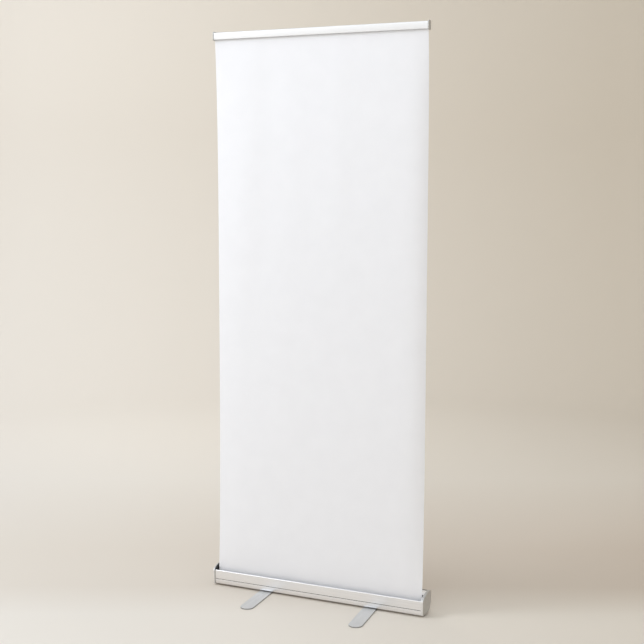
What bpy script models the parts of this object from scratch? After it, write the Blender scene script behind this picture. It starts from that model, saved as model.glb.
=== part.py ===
"""Roll-up banner stand: an aluminium base cassette with a sprung roller, a two-bar swivel foot,
a three-section telescopic mast behind the sheet, and a top rail that carries the sheet.

Frame: metres, +Z up, the floor at Z = 0, the front of the stand towards -Y, the origin on the
floor under the middle of the object's box. Base cross-sections are given as (y, z) in
millimetres from the middle plane of the cassette, and BASE_Y moves that plane into the frame.
"""

import math

import bmesh
import bpy
from mathutils import Matrix, Vector

MM = 0.001
GAP = 0.3  # clearance kept between pieces that touch

# ---- driving dimensions, millimetres ----
SHEET_WIDTH = 850.0
SHEET_THICK = 0.6
BASE_LENGTH = 875.0  # over the outer end covers
COVER_THICK = 3.5  # outer end cover
CAP_THICK = 5.2  # bearing cap
WALL = 1.8  # cassette wall
RAIL_LENGTH = 850.4
RAIL_HEIGHT = 26.5
RAIL_TOP = 2133.5
RAIL_Y = -19.0  # middle of the rail's depth
RAIL_DEPTH = 22.0
PLUG_THICK = 3.0  # rail end plug

ROLLER_Y, ROLLER_Z = -1.0, 36.0
ROLLER_R, ROLLER_BORE = 15.0, 13.6
WRAP_R = 16.0  # roller with the sheet's leader on it
ROLLER_LENGTH = 848.0

FOOT_WIDTH, FOOT_THICK = 51.0, 4.0
FOOT_FRONT, FOOT_REAR = 223.0, 183.0  # reach from the pivot to each tip
FOOT_PIVOT_Y = -14.0
FOOT_X = {"left": -210.4, "right": 224.8}
FOOT_TURN = {"left": 4.4, "right": 5.8}  # degrees, front tip towards +X

MAST_BASE = (33.2, 80.0)  # (y, z) of the mast's line at the cassette's top
MAST_TOP = (2.0, 2110.0)  # and just under the rail
MAST_R = (9.0, 7.6, 6.2)  # outer radius of the lower, middle and upper tube
MAST_WALL = 1.0
MAST_Z = ((45.0, 768.0), (706.0, 1436.0), (1374.0, 2100.0))  # ends of each tube
LOCK_Z = ((738.0, 790.0), (1408.0, 1456.0))  # ends of each twist lock

# ---- derived ----
CAP_IN = BASE_LENGTH / 2 - COVER_THICK - GAP - CAP_THICK  # inner face of the bearing cap
HOUSING_HALF = CAP_IN - GAP
LEAN = math.atan2(MAST_BASE[0] - MAST_TOP[0], MAST_TOP[1] - MAST_BASE[1])
TIP_R = FOOT_WIDTH / 2
_front = min(
    FOOT_PIVOT_Y - (FOOT_FRONT - TIP_R) * math.cos(math.radians(t)) - TIP_R
    for t in FOOT_TURN.values()
)
_rear = max(
    FOOT_PIVOT_Y + (FOOT_REAR - TIP_R) * math.cos(math.radians(t)) + TIP_R
    for t in FOOT_TURN.values()
)
BASE_Y = -(_front + _rear) / 2  # puts the middle of the feet's span at Y = 0

# ---- a clean scene ----
for old in list(bpy.data.objects):
    bpy.data.objects.remove(old, do_unlink=True)


def collection(name, hidden=False):
    made = bpy.data.collections.new(name)
    bpy.context.scene.collection.children.link(made)
    made.hide_render = hidden
    return made


PARTS = collection("rollup_banner_stand")
CUTTERS = collection("cutters", hidden=True)


def material(name, colour, metallic, roughness):
    made = bpy.data.materials.new(name)
    made.use_nodes = True
    shader = made.node_tree.nodes["Principled BSDF"]
    shader.inputs["Base Color"].default_value = (*colour, 1.0)
    shader.inputs["Metallic"].default_value = metallic
    shader.inputs["Roughness"].default_value = roughness
    return made


ALUMINIUM = material("satin_aluminium", (0.72, 0.72, 0.72), 1.0, 0.34)
COVER = material("silver_cover", (0.58, 0.59, 0.60), 0.9, 0.38)
FOOT = material("foot_aluminium", (0.70, 0.71, 0.71), 1.0, 0.36)
BLACK = material("black_plastic", (0.025, 0.025, 0.027), 0.0, 0.42)
STEEL = material("zinc_steel", (0.60, 0.61, 0.63), 1.0, 0.28)
SPRING = material("spring_steel", (0.35, 0.35, 0.37), 1.0, 0.35)
SHEET = material("white_sheet", (0.88, 0.88, 0.89), 0.0, 0.62)
LEADER = material("leader_film", (0.75, 0.76, 0.78), 0.0, 0.5)


# ---- ways to make a shape ----
def add(name, mesh, look, where=PARTS):
    obj = bpy.data.objects.new(name, mesh)
    where.objects.link(obj)
    if look:
        mesh.materials.append(look)
    return obj


def cutter(obj):
    for user in list(obj.users_collection):
        user.objects.unlink(obj)
    CUTTERS.objects.link(obj)
    obj.hide_render = True
    obj.display_type = "WIRE"
    return obj


def box(name, low, high, look=None):
    """A box between two corners, millimetres, y counted from the cassette's middle plane."""
    shape = bmesh.new()
    size = [(h - l) * MM for l, h in zip(low, high)]
    middle = [(h + l) / 2 * MM for l, h in zip(low, high)]
    bmesh.ops.create_cube(shape, size=1.0, matrix=Matrix.Diagonal((*size, 1.0)))
    mesh = bpy.data.meshes.new(name)
    shape.to_mesh(mesh)
    shape.free()
    obj = add(name, mesh, look)
    obj.location = (middle[0], middle[1] + BASE_Y * MM, middle[2])
    return obj


TURN_TO = {
    "X": Matrix.Rotation(math.pi / 2, 4, "Y"),
    "-X": Matrix.Rotation(-math.pi / 2, 4, "Y"),
    "Y": Matrix.Rotation(-math.pi / 2, 4, "X"),
    "Z": Matrix.Identity(4),
    "mast": Matrix.Rotation(LEAN, 4, "X"),
}


def rod(name, start, length, radius, along, look=None, sides=20):
    """A round bar from a start point along a direction named in TURN_TO."""
    shape = bmesh.new()
    bmesh.ops.create_cone(
        shape,
        cap_ends=True,
        segments=sides,
        radius1=radius * MM,
        radius2=radius * MM,
        depth=length * MM,
        matrix=Matrix.Translation((0, 0, length * MM / 2)),
    )
    mesh = bpy.data.meshes.new(name)
    shape.to_mesh(mesh)
    shape.free()
    mesh.shade_smooth()
    mesh.set_sharp_from_angle(angle=math.radians(35))
    obj = add(name, mesh, look)
    obj.rotation_euler = TURN_TO[along].to_euler()
    obj.location = (start[0] * MM, (start[1] + BASE_Y) * MM, start[2] * MM)
    return obj


def turned(name, profile, closed, at, along, look, sides=28):
    """A turned piece: profile points (radius, height) run down the outer side, closed for a ring."""
    shape = bmesh.new()
    points = [shape.verts.new((r * MM, 0.0, h * MM)) for r, h in profile]
    for a, b in zip(points, points[1:]):
        shape.edges.new((a, b))
    if closed:
        shape.edges.new((points[-1], points[0]))
    mesh = bpy.data.meshes.new(name)
    shape.to_mesh(mesh)
    shape.free()
    obj = add(name, mesh, look)
    spin = obj.modifiers.new("Turn", "SCREW")
    spin.axis = "Z"
    spin.angle = math.tau
    spin.steps = spin.render_steps = sides
    spin.use_merge_vertices = True
    spin.merge_threshold = 0.00001
    spin.use_smooth_shade = True
    obj.rotation_euler = TURN_TO[along].to_euler()
    obj.location = (at[0] * MM, (at[1] + BASE_Y) * MM, at[2] * MM)
    return obj


def outline(name, loops, thick, look=None):
    """A flat curve with its holes, extruded to a thickness about its own plane."""
    curve = bpy.data.curves.new(name, "CURVE")
    curve.dimensions = "2D"
    curve.fill_mode = "BOTH"
    curve.extrude = thick / 2 * MM
    for loop in loops:
        line = curve.splines.new("POLY")
        line.points.add(len(loop) - 1)
        for point, (a, b) in zip(line.points, loop):
            point.co = (a * MM, b * MM, 0.0, 1.0)
        line.use_cyclic_u = True
    return add(name, curve, look)


ACROSS = (math.pi / 2, 0.0, math.pi / 2)  # a curve's own x, y and z to world Y, Z and X


def across(name, loops, x_low, x_high, look=None):
    """A (y, z) section extruded along X from x_low to x_high, as a mesh."""
    obj = outline(name, loops, x_high - x_low, look)
    obj.rotation_euler = ACROSS
    obj.location = ((x_low + x_high) / 2 * MM, BASE_Y * MM, 0.0)
    return to_mesh(obj)


def to_mesh(obj):
    """A curve object made a welded mesh, so that it can be cut and joined."""
    bpy.context.view_layer.update()
    seen = obj.evaluated_get(bpy.context.evaluated_depsgraph_get())
    mesh = bpy.data.meshes.new_from_object(seen)
    shape = bmesh.new()
    shape.from_mesh(mesh)
    bmesh.ops.remove_doubles(shape, verts=shape.verts, dist=0.000001)
    bmesh.ops.recalc_face_normals(shape, faces=shape.faces)
    shape.to_mesh(mesh)
    shape.free()
    name, matrix, homes = obj.name, obj.matrix_world.copy(), list(obj.users_collection)
    bpy.data.objects.remove(obj, do_unlink=True)
    made = bpy.data.objects.new(name, mesh)
    for home in homes:
        home.objects.link(made)
    made.matrix_world = matrix
    return made


def boolean(obj, other, how):
    step = obj.modifiers.new(how.title(), "BOOLEAN")
    step.operation = how
    step.solver = "EXACT"
    step.object = cutter(other)
    return obj


def cut(obj, *others):
    for other in others:
        boolean(obj, other, "DIFFERENCE")
    return obj


def join(obj, *others):
    for other in others:
        boolean(obj, other, "UNION")
    return obj


def bevel(obj, width, segments=2, angle=30):
    step = obj.modifiers.new("Edges", "BEVEL")
    step.width = width * MM
    step.segments = segments
    step.limit_method = "ANGLE"
    step.angle_limit = math.radians(angle)
    return obj


def empty(name, at, along="Z"):
    obj = bpy.data.objects.new(name, None)
    PARTS.objects.link(obj)
    obj.rotation_euler = TURN_TO[along].to_euler()
    obj.location = (at[0] * MM, (at[1] + BASE_Y) * MM, at[2] * MM)
    return obj


def carry(holder, *objects):
    """The objects move with an empty that sits on their joint's axis."""
    bpy.context.view_layer.update()
    for obj in objects:
        obj.parent = holder
        obj.matrix_parent_inverse = holder.matrix_world.inverted()


def offset(points, by):
    """An open line moved to its left by a distance, corner by corner."""
    made = []
    for i, point in enumerate(points):
        here = Vector(point)
        sides = []
        if i > 0:
            sides.append((here - Vector(points[i - 1])).normalized())
        if i < len(points) - 1:
            sides.append((Vector(points[i + 1]) - here).normalized())
        normals = [Vector((-d.y, d.x)) for d in sides]
        normal = sum(normals, Vector((0, 0))).normalized()
        made.append(tuple(here + normal * by / max(normal.dot(normals[0]), 0.5)))
    return made


def arc(centre, radius, start, end, count):
    """Points on an arc, angles in degrees."""
    return [
        (
            centre[0] + radius * math.cos(math.radians(start + (end - start) * i / count)),
            centre[1] + radius * math.sin(math.radians(start + (end - start) * i / count)),
        )
        for i in range(count + 1)
    ]


# ---- base cassette ----
# Skin of the extrusion from the front lip, down the face and groove, under and up the back to the slot.
FRONT_FACE = [(-40.0, 59.0), (-40.0, 27.7), (-38.5, 27.6), (-38.5, 25.9), (-40.0, 25.7)]
FRONT_FOOT = [(-39.8, 18.0), (-39.0, 12.2), (-37.1, 8.3), (-33.4, 6.2)]
BACK_CURVE = [(8.0, 6.2), (17.0, 7.4), (26.0, 11.2), (34.0, 18.4), (41.0, 27.0), (45.4, 35.0), (47.0, 42.0)]
BACK_TOP = [(47.0, 67.5), (46.2, 72.8), (43.6, 77.4), (39.6, 80.4), (35.0, 81.7)]
TOP_RUN = [(22.0, 81.3), (8.0, 80.1), (-3.0, 78.2)]
SKIN = FRONT_FACE + FRONT_FOOT + BACK_CURVE + BACK_TOP + TOP_RUN
GROOVE_BACK = [(-40.0, 31.0), (-38.8, 29.6), (-38.8, 23.9), (-39.9, 22.5)]  # the wall steps in behind the groove
INNER_RUN = [FRONT_FACE[0]] + GROOVE_BACK + SKIN[len(FRONT_FACE):]
inside = offset(INNER_RUN, WALL)
lip = arc((-37.6, 59.4), 2.4, 180, 0, 6)[1:]  # rolled bead along the front edge of the slot
bead = arc((-6.2, 75.6), 2.5, 60, 300, 6)  # and along its rear edge
section = SKIN + bead + list(reversed(inside))[1:-1] + [(-38.2, 54.6)] + list(reversed(lip))
base_housing = across("base_housing", [section], -HOUSING_HALF, HOUSING_HALF, ALUMINIUM)

CHANNEL_WALL = (20.9, 22.1)  # web between the roller's chamber and the mast's channel
join(base_housing, box("web", (-HOUSING_HALF + 1.6, CHANNEL_WALL[0], 10.3), (HOUSING_HALF - 1.6, CHANNEL_WALL[1], 80.3)))
SCREW_AT = ((-34.4, 11.6), (32.4, 20.6), (40.6, 74.6))
for i, (y, z) in enumerate(SCREW_AT):
    short = 0.4 * (i + 1)
    join(base_housing, rod(f"boss_{i}", (-HOUSING_HALF + short, y, z), 2 * (HOUSING_HALF - short), 3.7, "X", sides=14))
for i, (y, z) in enumerate(SCREW_AT):
    cut(base_housing, rod(f"screw_channel_{i}", (-HOUSING_HALF - 5, y, z), 2 * HOUSING_HALF + 10, 1.9, "X", sides=12))
mast_hole = rod("mast_hole", (0, MAST_BASE[0] + math.tan(LEAN) * 41.5, 38.5), 60, 10.8, "mast", sides=28)
cut(base_housing, mast_hole)
for side, x in FOOT_X.items():
    cut(base_housing, rod(f"foot_hole_{side}", (x, FOOT_PIVOT_Y, 3), 8, 3.5, "Z", sides=16))

# ---- end caps ----
CAP_OUTLINE = [
    (-40.6, 26.4), (-40.6, 58.0), (-39.7, 61.4), (-37.0, 64.4), (-31.0, 69.2), (-24.0, 73.2), (-14.0, 76.4),
    (0.0, 79.2), (14.0, 81.4), (27.0, 82.4), (35.0, 82.5), (40.0, 81.2), (44.3, 78.0), (47.0, 73.2), (47.7, 67.6),
    (47.7, 42.0), (46.1, 34.8), (41.6, 26.6), (34.6, 18.0), (26.3, 10.6), (17.1, 6.7), (8.0, 5.5), (-33.6, 5.5),
    (-37.7, 7.8), (-39.7, 12.0), (-40.5, 18.0),
]
PEG_AT = ((-24.0, 54.0), (22.0, 62.0))
for side, sign, along in (("left", -1, "-X"), ("right", 1, "X")):
    span = sorted((sign * CAP_IN, sign * (CAP_IN + CAP_THICK)))
    cap = across(f"end_cap_{side}", [CAP_OUTLINE], *span, COVER)
    cut(cap, rod(f"bearing_hole_{side}", (sign * (CAP_IN - 3), ROLLER_Y, ROLLER_Z), 20, 4.4, along, sides=20))
    for i, (y, z) in enumerate(SCREW_AT):
        cut(cap, rod(f"cap_hole_{side}_{i}", (sign * (CAP_IN - 3), y, z), 20, 1.9, along, sides=12))
        cut(cap, rod(f"cap_sink_{side}_{i}", (sign * (CAP_IN + 2.7), y, z), 10, 3.7, along, sides=14))
        turned(
            f"end_cap_screw_{side}_{i + 1}",
            [(0, 2.0), (1.5, 1.95), (2.9, 1.1), (3.2, 0), (1.5, 0), (1.5, -16.0), (0, -18.0)],
            False, (sign * (CAP_IN + 3.0), y, z), along, STEEL, sides=12,
        )
    for i, (y, z) in enumerate(PEG_AT):
        cut(cap, rod(f"peg_hole_{side}_{i}", (sign * (CAP_IN + 1.2), y, z), 12, 2.4, along, sides=12))
    low = CAP_IN + CAP_THICK + GAP
    cover = across(f"end_cover_{side}", [offset(CAP_OUTLINE + CAP_OUTLINE[:1], 0.0)[:-1]], *sorted((sign * low, sign * (low + COVER_THICK))), COVER)
    bevel(cover, 0.9, 2, 50)
    for i, (y, z) in enumerate(PEG_AT):
        join(cover, rod(f"peg_{side}_{i}", (sign * (low - 3.6), y, z), 5.2, 2.0, along, sides=12))

# ---- roller, its spring and axles ----
roller_axis = empty("roller_axis", (0, ROLLER_Y, ROLLER_Z))
half = ROLLER_LENGTH / 2
AT_ROLLER = (0, ROLLER_Y, ROLLER_Z)
roller_tube = turned(
    "roller_tube", [(ROLLER_R, half), (ROLLER_R, -half), (ROLLER_BORE, -half), (ROLLER_BORE, half)],
    True, AT_ROLLER, "X", ALUMINIUM,
)
banner_leader = turned(
    "banner_leader",
    [(WRAP_R, SHEET_WIDTH / 2 - 2), (WRAP_R, -SHEET_WIDTH / 2 + 2), (ROLLER_R + GAP, -SHEET_WIDTH / 2 + 2), (ROLLER_R + GAP, SHEET_WIDTH / 2 - 2)],
    True, AT_ROLLER, "X", LEADER,
)
SPINDLE_R = 4.0
hub = [
    (13.2, half - 18), (13.2, half + GAP), (14.6, half + GAP), (14.6, half + 2.2), (SPINDLE_R + 0.4, half + 2.2),
    (SPINDLE_R + 0.4, half - 18),
]
hub = [(r, -h) for r, h in hub]  # outer side first, running down, for a hub on the -Z end
roller_plug_spring = turned("roller_plug_spring_side", hub, True, AT_ROLLER, "X", BLACK, sides=24)
roller_plug_idle = turned("roller_plug_idle_side", hub, True, AT_ROLLER, "-X", BLACK, sides=24)
carry(roller_axis, roller_tube, banner_leader, roller_plug_spring, roller_plug_idle)

CAP_OUT = CAP_IN + CAP_THICK
spring_spindle = turned(
    "spring_spindle", [(0, CAP_OUT - 0.3), (3.2, CAP_OUT - 0.3), (SPINDLE_R, CAP_OUT - 1.1), (SPINDLE_R, 232), (0, 230)],
    False, AT_ROLLER, "-X", STEEL, sides=20,
)
idle_axle = turned(
    "idle_axle", [(0, CAP_OUT - 0.3), (3.2, CAP_OUT - 0.3), (SPINDLE_R, CAP_OUT - 1.1), (SPINDLE_R, 398), (0, 396)],
    False, AT_ROLLER, "X", STEEL, sides=20,
)
coil = bpy.data.curves.new("torsion_spring", "CURVE")
coil.dimensions = "3D"
coil.bevel_depth = 1.1 * MM
coil.bevel_resolution = 1
coil.use_fill_caps = True
TURNS, PER_TURN, COIL_R, COIL_FROM, COIL_TO = 14, 9, 8.6, -396.0, -246.0
line = coil.splines.new("POLY")
line.points.add(TURNS * PER_TURN)
for i, point in enumerate(line.points):
    angle = math.tau * i / PER_TURN
    point.co = (
        (COIL_FROM + (COIL_TO - COIL_FROM) * i / (TURNS * PER_TURN)) * MM,
        COIL_R * math.cos(angle) * MM,
        COIL_R * math.sin(angle) * MM,
        1.0,
    )
torsion_spring = add("torsion_spring", coil, SPRING)
torsion_spring.location = (0, (ROLLER_Y + BASE_Y) * MM, ROLLER_Z * MM)

# ---- swivel feet ----
for side, x in FOOT_X.items():
    shape = arc((0, -(FOOT_FRONT - TIP_R)), TIP_R, 180, 360, 14) + arc((0, FOOT_REAR - TIP_R), TIP_R, 0, 180, 14)
    foot = outline(f"{side}_foot", [shape], FOOT_THICK, FOOT)
    foot.location = (x * MM, (FOOT_PIVOT_Y + BASE_Y) * MM, FOOT_THICK / 2 * MM)
    foot.rotation_euler = (0, 0, math.radians(FOOT_TURN[side]))
    foot = to_mesh(foot)
    cut(foot, rod(f"{side}_pivot_hole", (x, FOOT_PIVOT_Y, -3), 12, 3.4, "Z", sides=16))
    cut(foot, rod(f"{side}_pivot_sink", (x, FOOT_PIVOT_Y, -4), 6.2, 7.2, "Z", sides=24))
    at = (x, FOOT_PIVOT_Y, 0)
    turned(
        f"{side}_foot_bolt",
        [(0, 12.8), (2.4, 12.8), (3.0, 12.2), (3.0, 1.9), (6.8, 1.9), (6.8, 0.9), (5.9, 0.3), (0, 0.3)],
        False, at, "Z", STEEL, sides=20,
    )
    turned(f"{side}_foot_washer", [(9.5, 5.9), (9.5, 4.3), (3.4, 4.3), (3.4, 5.9)], True, at, "Z", BLACK, sides=20)
    nut = outline(f"{side}_foot_nut", [arc((0, 0), 5.8, 0, 360, 6)[:-1], arc((0, 0), 3.4, 0, 360, 12)[:-1]], 3.5, STEEL)
    nut.location = (x * MM, (FOOT_PIVOT_Y + BASE_Y) * MM, (6.2 + WALL + GAP + 1.75) * MM)
    to_mesh(nut)

# ---- mast ----
AT_MAST = (0, MAST_BASE[0], MAST_BASE[1])


def up(z):
    """Distance along the mast's line from its reference point to a height."""
    return (z - MAST_BASE[1]) / math.cos(LEAN)


def ring(r_out, r_in, low, high):
    return [(r_out, up(high)), (r_out, up(low)), (r_in, up(low)), (r_in, up(high))]


turned(
    "mast_socket",
    [(0, up(41.8)), (9.35, up(41.8)), (9.35, up(84.2)), (11.6, up(84.2)), (11.6, up(82.8)), (10.5, up(82.6)), (10.5, up(39.8)), (0, up(39.8))],
    False, AT_MAST, "mast", BLACK, sides=24,
)
turned(
    "mast_foot_plug",
    [(0, up(58.0)), (6.6, up(58.0)), (7.6, up(56.5)), (7.6, up(44.6)), (8.8, up(44.6)), (8.8, up(42.8)), (0, up(42.8))],
    False, AT_MAST, "mast", BLACK, sides=20,
)
tubes = [
    turned(name, ring(r, r - MAST_WALL, *ends), True, AT_MAST, "mast", ALUMINIUM)
    for name, r, ends in zip(("mast_lower_tube", "mast_middle_tube", "mast_upper_tube"), MAST_R, MAST_Z)
]
LOCKS = []
for i, name in enumerate(("lower", "upper")):
    low, high = LOCK_Z[i]
    outer, inner, top = MAST_R[i] + 0.35, MAST_R[i + 1] + 0.35, MAST_Z[i][1]
    grip = outer + 3.6
    lock = turned(
        f"{name}_twist_lock",
        [
            (inner + 1.6, up(high)), (grip - 1.2, up(high - 5.0)), (grip, up(high - 8.0)), (grip, up(high - 30.0)),
            (grip - 0.9, up(high - 32.0)), (grip - 0.9, up(low + 2.0)), (outer + 1.2, up(low)), (outer, up(low)),
            (outer, up(high - 6.0)), (inner, up(high - 6.0)), (inner, up(high)),
        ],
        True, AT_MAST, "mast", BLACK, sides=24,
    )
    collet = turned(f"{name}_lock_collet", ring(MAST_R[i], inner, top + GAP, high - 6.4), True, AT_MAST, "mast", STEEL, sides=24)
    LOCKS.append((lock, collet))

TAB_Z = (2117.6, 2119.6)
mast_top_fitting = turned(
    "mast_top_fitting",
    [
        (0, up(2125.0)), (2.0, up(2125.0)), (2.9, up(2123.6)), (2.9, up(TAB_Z[0] - 0.4)), (5.0, up(TAB_Z[0] - 0.4)),
        (6.6, up(2112.0)), (6.6, up(2100.4)), (4.8, up(2100.4)), (4.8, up(2080.0)), (0, up(2078.0)),
    ],
    False, AT_MAST, "mast", BLACK, sides=24,
)

# ---- top rail ----
RAIL_LOW = RAIL_TOP - RAIL_HEIGHT
y0, y1 = RAIL_Y - RAIL_DEPTH / 2, RAIL_Y + RAIL_DEPTH / 2
T = 1.6
SLOT = (-23.6, -16.4)
rail_skin = (
    [(SLOT[0], RAIL_LOW), (y0 + 0.8, RAIL_LOW), (y0, RAIL_LOW + 0.8)]
    + arc((y0 + 5.5, RAIL_TOP - 5.5), 5.5, 180, 90, 5)
    + arc((y1 - 5.5, RAIL_TOP - 5.5), 5.5, 90, 0, 5)
    + [(y1, RAIL_LOW + 0.8), (y1 - 0.8, RAIL_LOW), (SLOT[1], RAIL_LOW)]
)
rail_inside = (
    [(SLOT[1], RAIL_LOW + T), (y1 - T, RAIL_LOW + T)]
    + arc((y1 - 5.5, RAIL_TOP - 5.5), 5.5 - T, 0, 90, 4)
    + arc((y0 + 5.5, RAIL_TOP - 5.5), 5.5 - T, 90, 180, 4)
    + [(y0 + T, RAIL_LOW + T), (SLOT[0], RAIL_LOW + T)]
)
top_rail = across("top_rail", [rail_skin + rail_inside], -RAIL_LENGTH / 2, RAIL_LENGTH / 2, ALUMINIUM)
gripper = across(
    "banner_gripper_strip",
    [[
        (-24.8, RAIL_LOW + 2.2), (-24.8, 2123.6), (-24.0, 2124.4), (-16.0, 2124.4), (-15.2, 2123.6), (-15.2, RAIL_LOW + 2.2),
        (-19.1, RAIL_LOW + 2.2), (-19.1, 2121.8), (-20.9, 2121.8), (-20.9, RAIL_LOW + 2.2),
    ]],
    -417, 417, BLACK,
)
PLUG_Y = (y0 - 1.6, y1 + 1.6)
PLUG_Z = (RAIL_LOW - 3.2, RAIL_TOP + 3.4)
plugs = []
for side, sign in (("left", -1), ("right", 1)):
    low = RAIL_LENGTH / 2 + GAP
    corners = (
        arc((PLUG_Y[0] + 4, PLUG_Z[0] + 4), 4, 270, 180, 4) + arc((PLUG_Y[0] + 7, PLUG_Z[1] - 7), 7, 180, 90, 5)
        + arc((PLUG_Y[1] - 7, PLUG_Z[1] - 7), 7, 90, 0, 5) + arc((PLUG_Y[1] - 4, PLUG_Z[0] + 4), 4, 0, -90, 4)
    )
    plug = across(f"rail_plug_{side}", [corners], *sorted((sign * low, sign * (low + PLUG_THICK))), COVER)
    bevel(plug, 0.6, 1, 50)
    for i, (a, b) in enumerate(((y0 + T + 0.5, -21.6), (-18.4, y1 - T - 0.5))):
        x = sorted((sign * (low - 6.5), sign * (low + 1.2)))
        join(plug, box(f"plug_tongue_{side}_{i}", (x[0], a, RAIL_LOW + 2.6), (x[1], b, RAIL_TOP - 6.2)))
    plugs.append(plug)

bracket = box("rail_hook_bracket", (-18, y1 + GAP, RAIL_LOW + 3), (18, y1 + GAP + 2, RAIL_TOP - 3), STEEL)
tab_y = MAST_TOP[0] - math.tan(LEAN) * (sum(TAB_Z) / 2 - MAST_TOP[1])
join(bracket, box("bracket_tab", (-8.5, y1 + GAP + 0.6, TAB_Z[0]), (8.5, tab_y + 7.6, TAB_Z[1])))
cut(bracket, rod("bracket_pin_hole", (0, tab_y, TAB_Z[0] - 5), 12, 3.5, "Z", sides=20))
bracket_screws = []
for side, x in (("left", -13), ("right", 13)):
    z = 2124.6
    cut(bracket, rod(f"bracket_hole_{side}", (x, y1 - 5, z), 12, 1.9, "Y", sides=12))
    cut(top_rail, rod(f"rail_hole_{side}", (x, y1 - 4, z), 8, 1.9, "Y", sides=12))
    bracket_screws.append(turned(
        f"rail_bracket_screw_{side}",
        [(0, 1.9), (1.6, 1.8), (2.7, 1.0), (3.0, 0), (1.4, 0), (1.4, -6.2), (0, -7.2)],
        False, (x, y1 + GAP + 2 + GAP, z), "Y", STEEL, sides=12,
    ))

middle_slide = empty("mast_middle_slide_axis", AT_MAST, "mast")
upper_slide = empty("mast_upper_slide_axis", AT_MAST, "mast")
carry(middle_slide, tubes[1], LOCKS[1][1], LOCKS[1][0], upper_slide)
carry(upper_slide, tubes[2], mast_top_fitting, bracket, top_rail, gripper, *plugs, *bracket_screws)

# ---- the printed sheet, from the roller's front through the slot into the rail ----
SHEET_LOW, SLOT_Z, SHEET_HIGH = 44.5, 62.0, 2121.0
ROWS, COLUMNS = 22, 14
sheet = bmesh.new()
bmesh.ops.create_grid(sheet, x_segments=COLUMNS, y_segments=ROWS, size=0.5)
for vert in sheet.verts:
    u, v = vert.co.x * 2, vert.co.y + 0.5
    row = round(v * ROWS)  # the first and last rows are the stretches inside the cassette and the rail
    free = min(max((row - 1) / (ROWS - 2), 0.0), 1.0)
    z = SHEET_LOW if row == 0 else SHEET_HIGH if row == ROWS else SLOT_Z + (RAIL_LOW - 1 - SLOT_Z) * free
    roll = max((-u - 0.4) / 0.6, 0.0) ** 2
    belly = 17.0 * (1 - (2 * free - 1) ** 4) * roll
    y = -17.6 - 2.4 * free + belly
    vert.co = (u * SHEET_WIDTH / 2 * MM, (y + BASE_Y) * MM, z * MM)
mesh = bpy.data.meshes.new("banner")
sheet.to_mesh(mesh)
sheet.free()
mesh.shade_smooth()
banner = add("banner", mesh, SHEET)
skin = banner.modifiers.new("Thickness", "SOLIDIFY")
skin.thickness = SHEET_THICK * MM
skin.offset = 0.0
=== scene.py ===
"""Looks for the roll-up banner stand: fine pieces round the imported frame, cloth, materials, stage, light and camera.

Lengths in the outlines are millimetres in the cassette's own (y, z) section, as in part.py: BASE_Y moves them into the
row frame. Every piece's mesh is in the row frame, so its object sits at the origin and Object coordinates are metres.
"""

import math

import bmesh
import bpy
import numpy as np
from mathutils import Matrix, Vector


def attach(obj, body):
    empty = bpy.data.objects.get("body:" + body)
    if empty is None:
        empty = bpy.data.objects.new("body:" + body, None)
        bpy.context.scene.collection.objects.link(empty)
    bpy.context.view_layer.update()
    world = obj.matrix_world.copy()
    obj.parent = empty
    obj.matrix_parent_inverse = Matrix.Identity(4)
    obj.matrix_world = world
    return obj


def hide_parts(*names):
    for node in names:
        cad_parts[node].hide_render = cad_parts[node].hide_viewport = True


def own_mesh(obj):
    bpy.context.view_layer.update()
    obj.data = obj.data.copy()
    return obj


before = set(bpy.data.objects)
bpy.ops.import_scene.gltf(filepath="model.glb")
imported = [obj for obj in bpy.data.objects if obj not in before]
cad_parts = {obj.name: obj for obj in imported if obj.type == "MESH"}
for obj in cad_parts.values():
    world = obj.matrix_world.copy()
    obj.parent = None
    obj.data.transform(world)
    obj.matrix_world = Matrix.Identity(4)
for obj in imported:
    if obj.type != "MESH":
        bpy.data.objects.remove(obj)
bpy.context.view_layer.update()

MM = 0.001
GAP = 0.3

# ---- sizes shared with part.py, millimetres ----
SHEET_WIDTH = 850.0
BASE_LENGTH = 875.0
COVER_THICK, CAP_THICK, WALL = 3.5, 5.2, 1.8
RAIL_LENGTH, RAIL_TOP, RAIL_HEIGHT, RAIL_Y, RAIL_DEPTH, PLUG_THICK = 850.4, 2133.5, 26.5, -19.0, 22.0, 3.0
RAIL_LOW = RAIL_TOP - RAIL_HEIGHT
FOOT_WIDTH, FOOT_THICK, FOOT_FRONT, FOOT_REAR, FOOT_PIVOT_Y = 51.0, 4.0, 223.0, 183.0, -14.0
FOOT_X = {"left": -210.4, "right": 224.8}
FOOT_TURN = {"left": 4.4, "right": 5.8}
MAST_BASE, MAST_TOP = (33.2, 80.0), (2.0, 2110.0)
MAST_R, MAST_WALL = (9.0, 7.6, 6.2), 1.0
MAST_Z = ((45.0, 768.0), (706.0, 1436.0), (1374.0, 2100.0))
LOCK_Z = ((738.0, 790.0), (1408.0, 1456.0))
CAP_IN = BASE_LENGTH / 2 - COVER_THICK - GAP - CAP_THICK
HOUSING_HALF = CAP_IN - GAP
LEAN = math.atan2(MAST_BASE[0] - MAST_TOP[0], MAST_TOP[1] - MAST_BASE[1])
TIP_R = FOOT_WIDTH / 2
front_tip = min(FOOT_PIVOT_Y - (FOOT_FRONT - TIP_R) * math.cos(math.radians(t)) - TIP_R for t in FOOT_TURN.values())
rear_tip = max(FOOT_PIVOT_Y + (FOOT_REAR - TIP_R) * math.cos(math.radians(t)) + TIP_R for t in FOOT_TURN.values())
BASE_Y = -(front_tip + rear_tip) / 2

WORK = bpy.data.collections.new("roll_up_banner_stand")
bpy.context.scene.collection.children.link(WORK)


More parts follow.
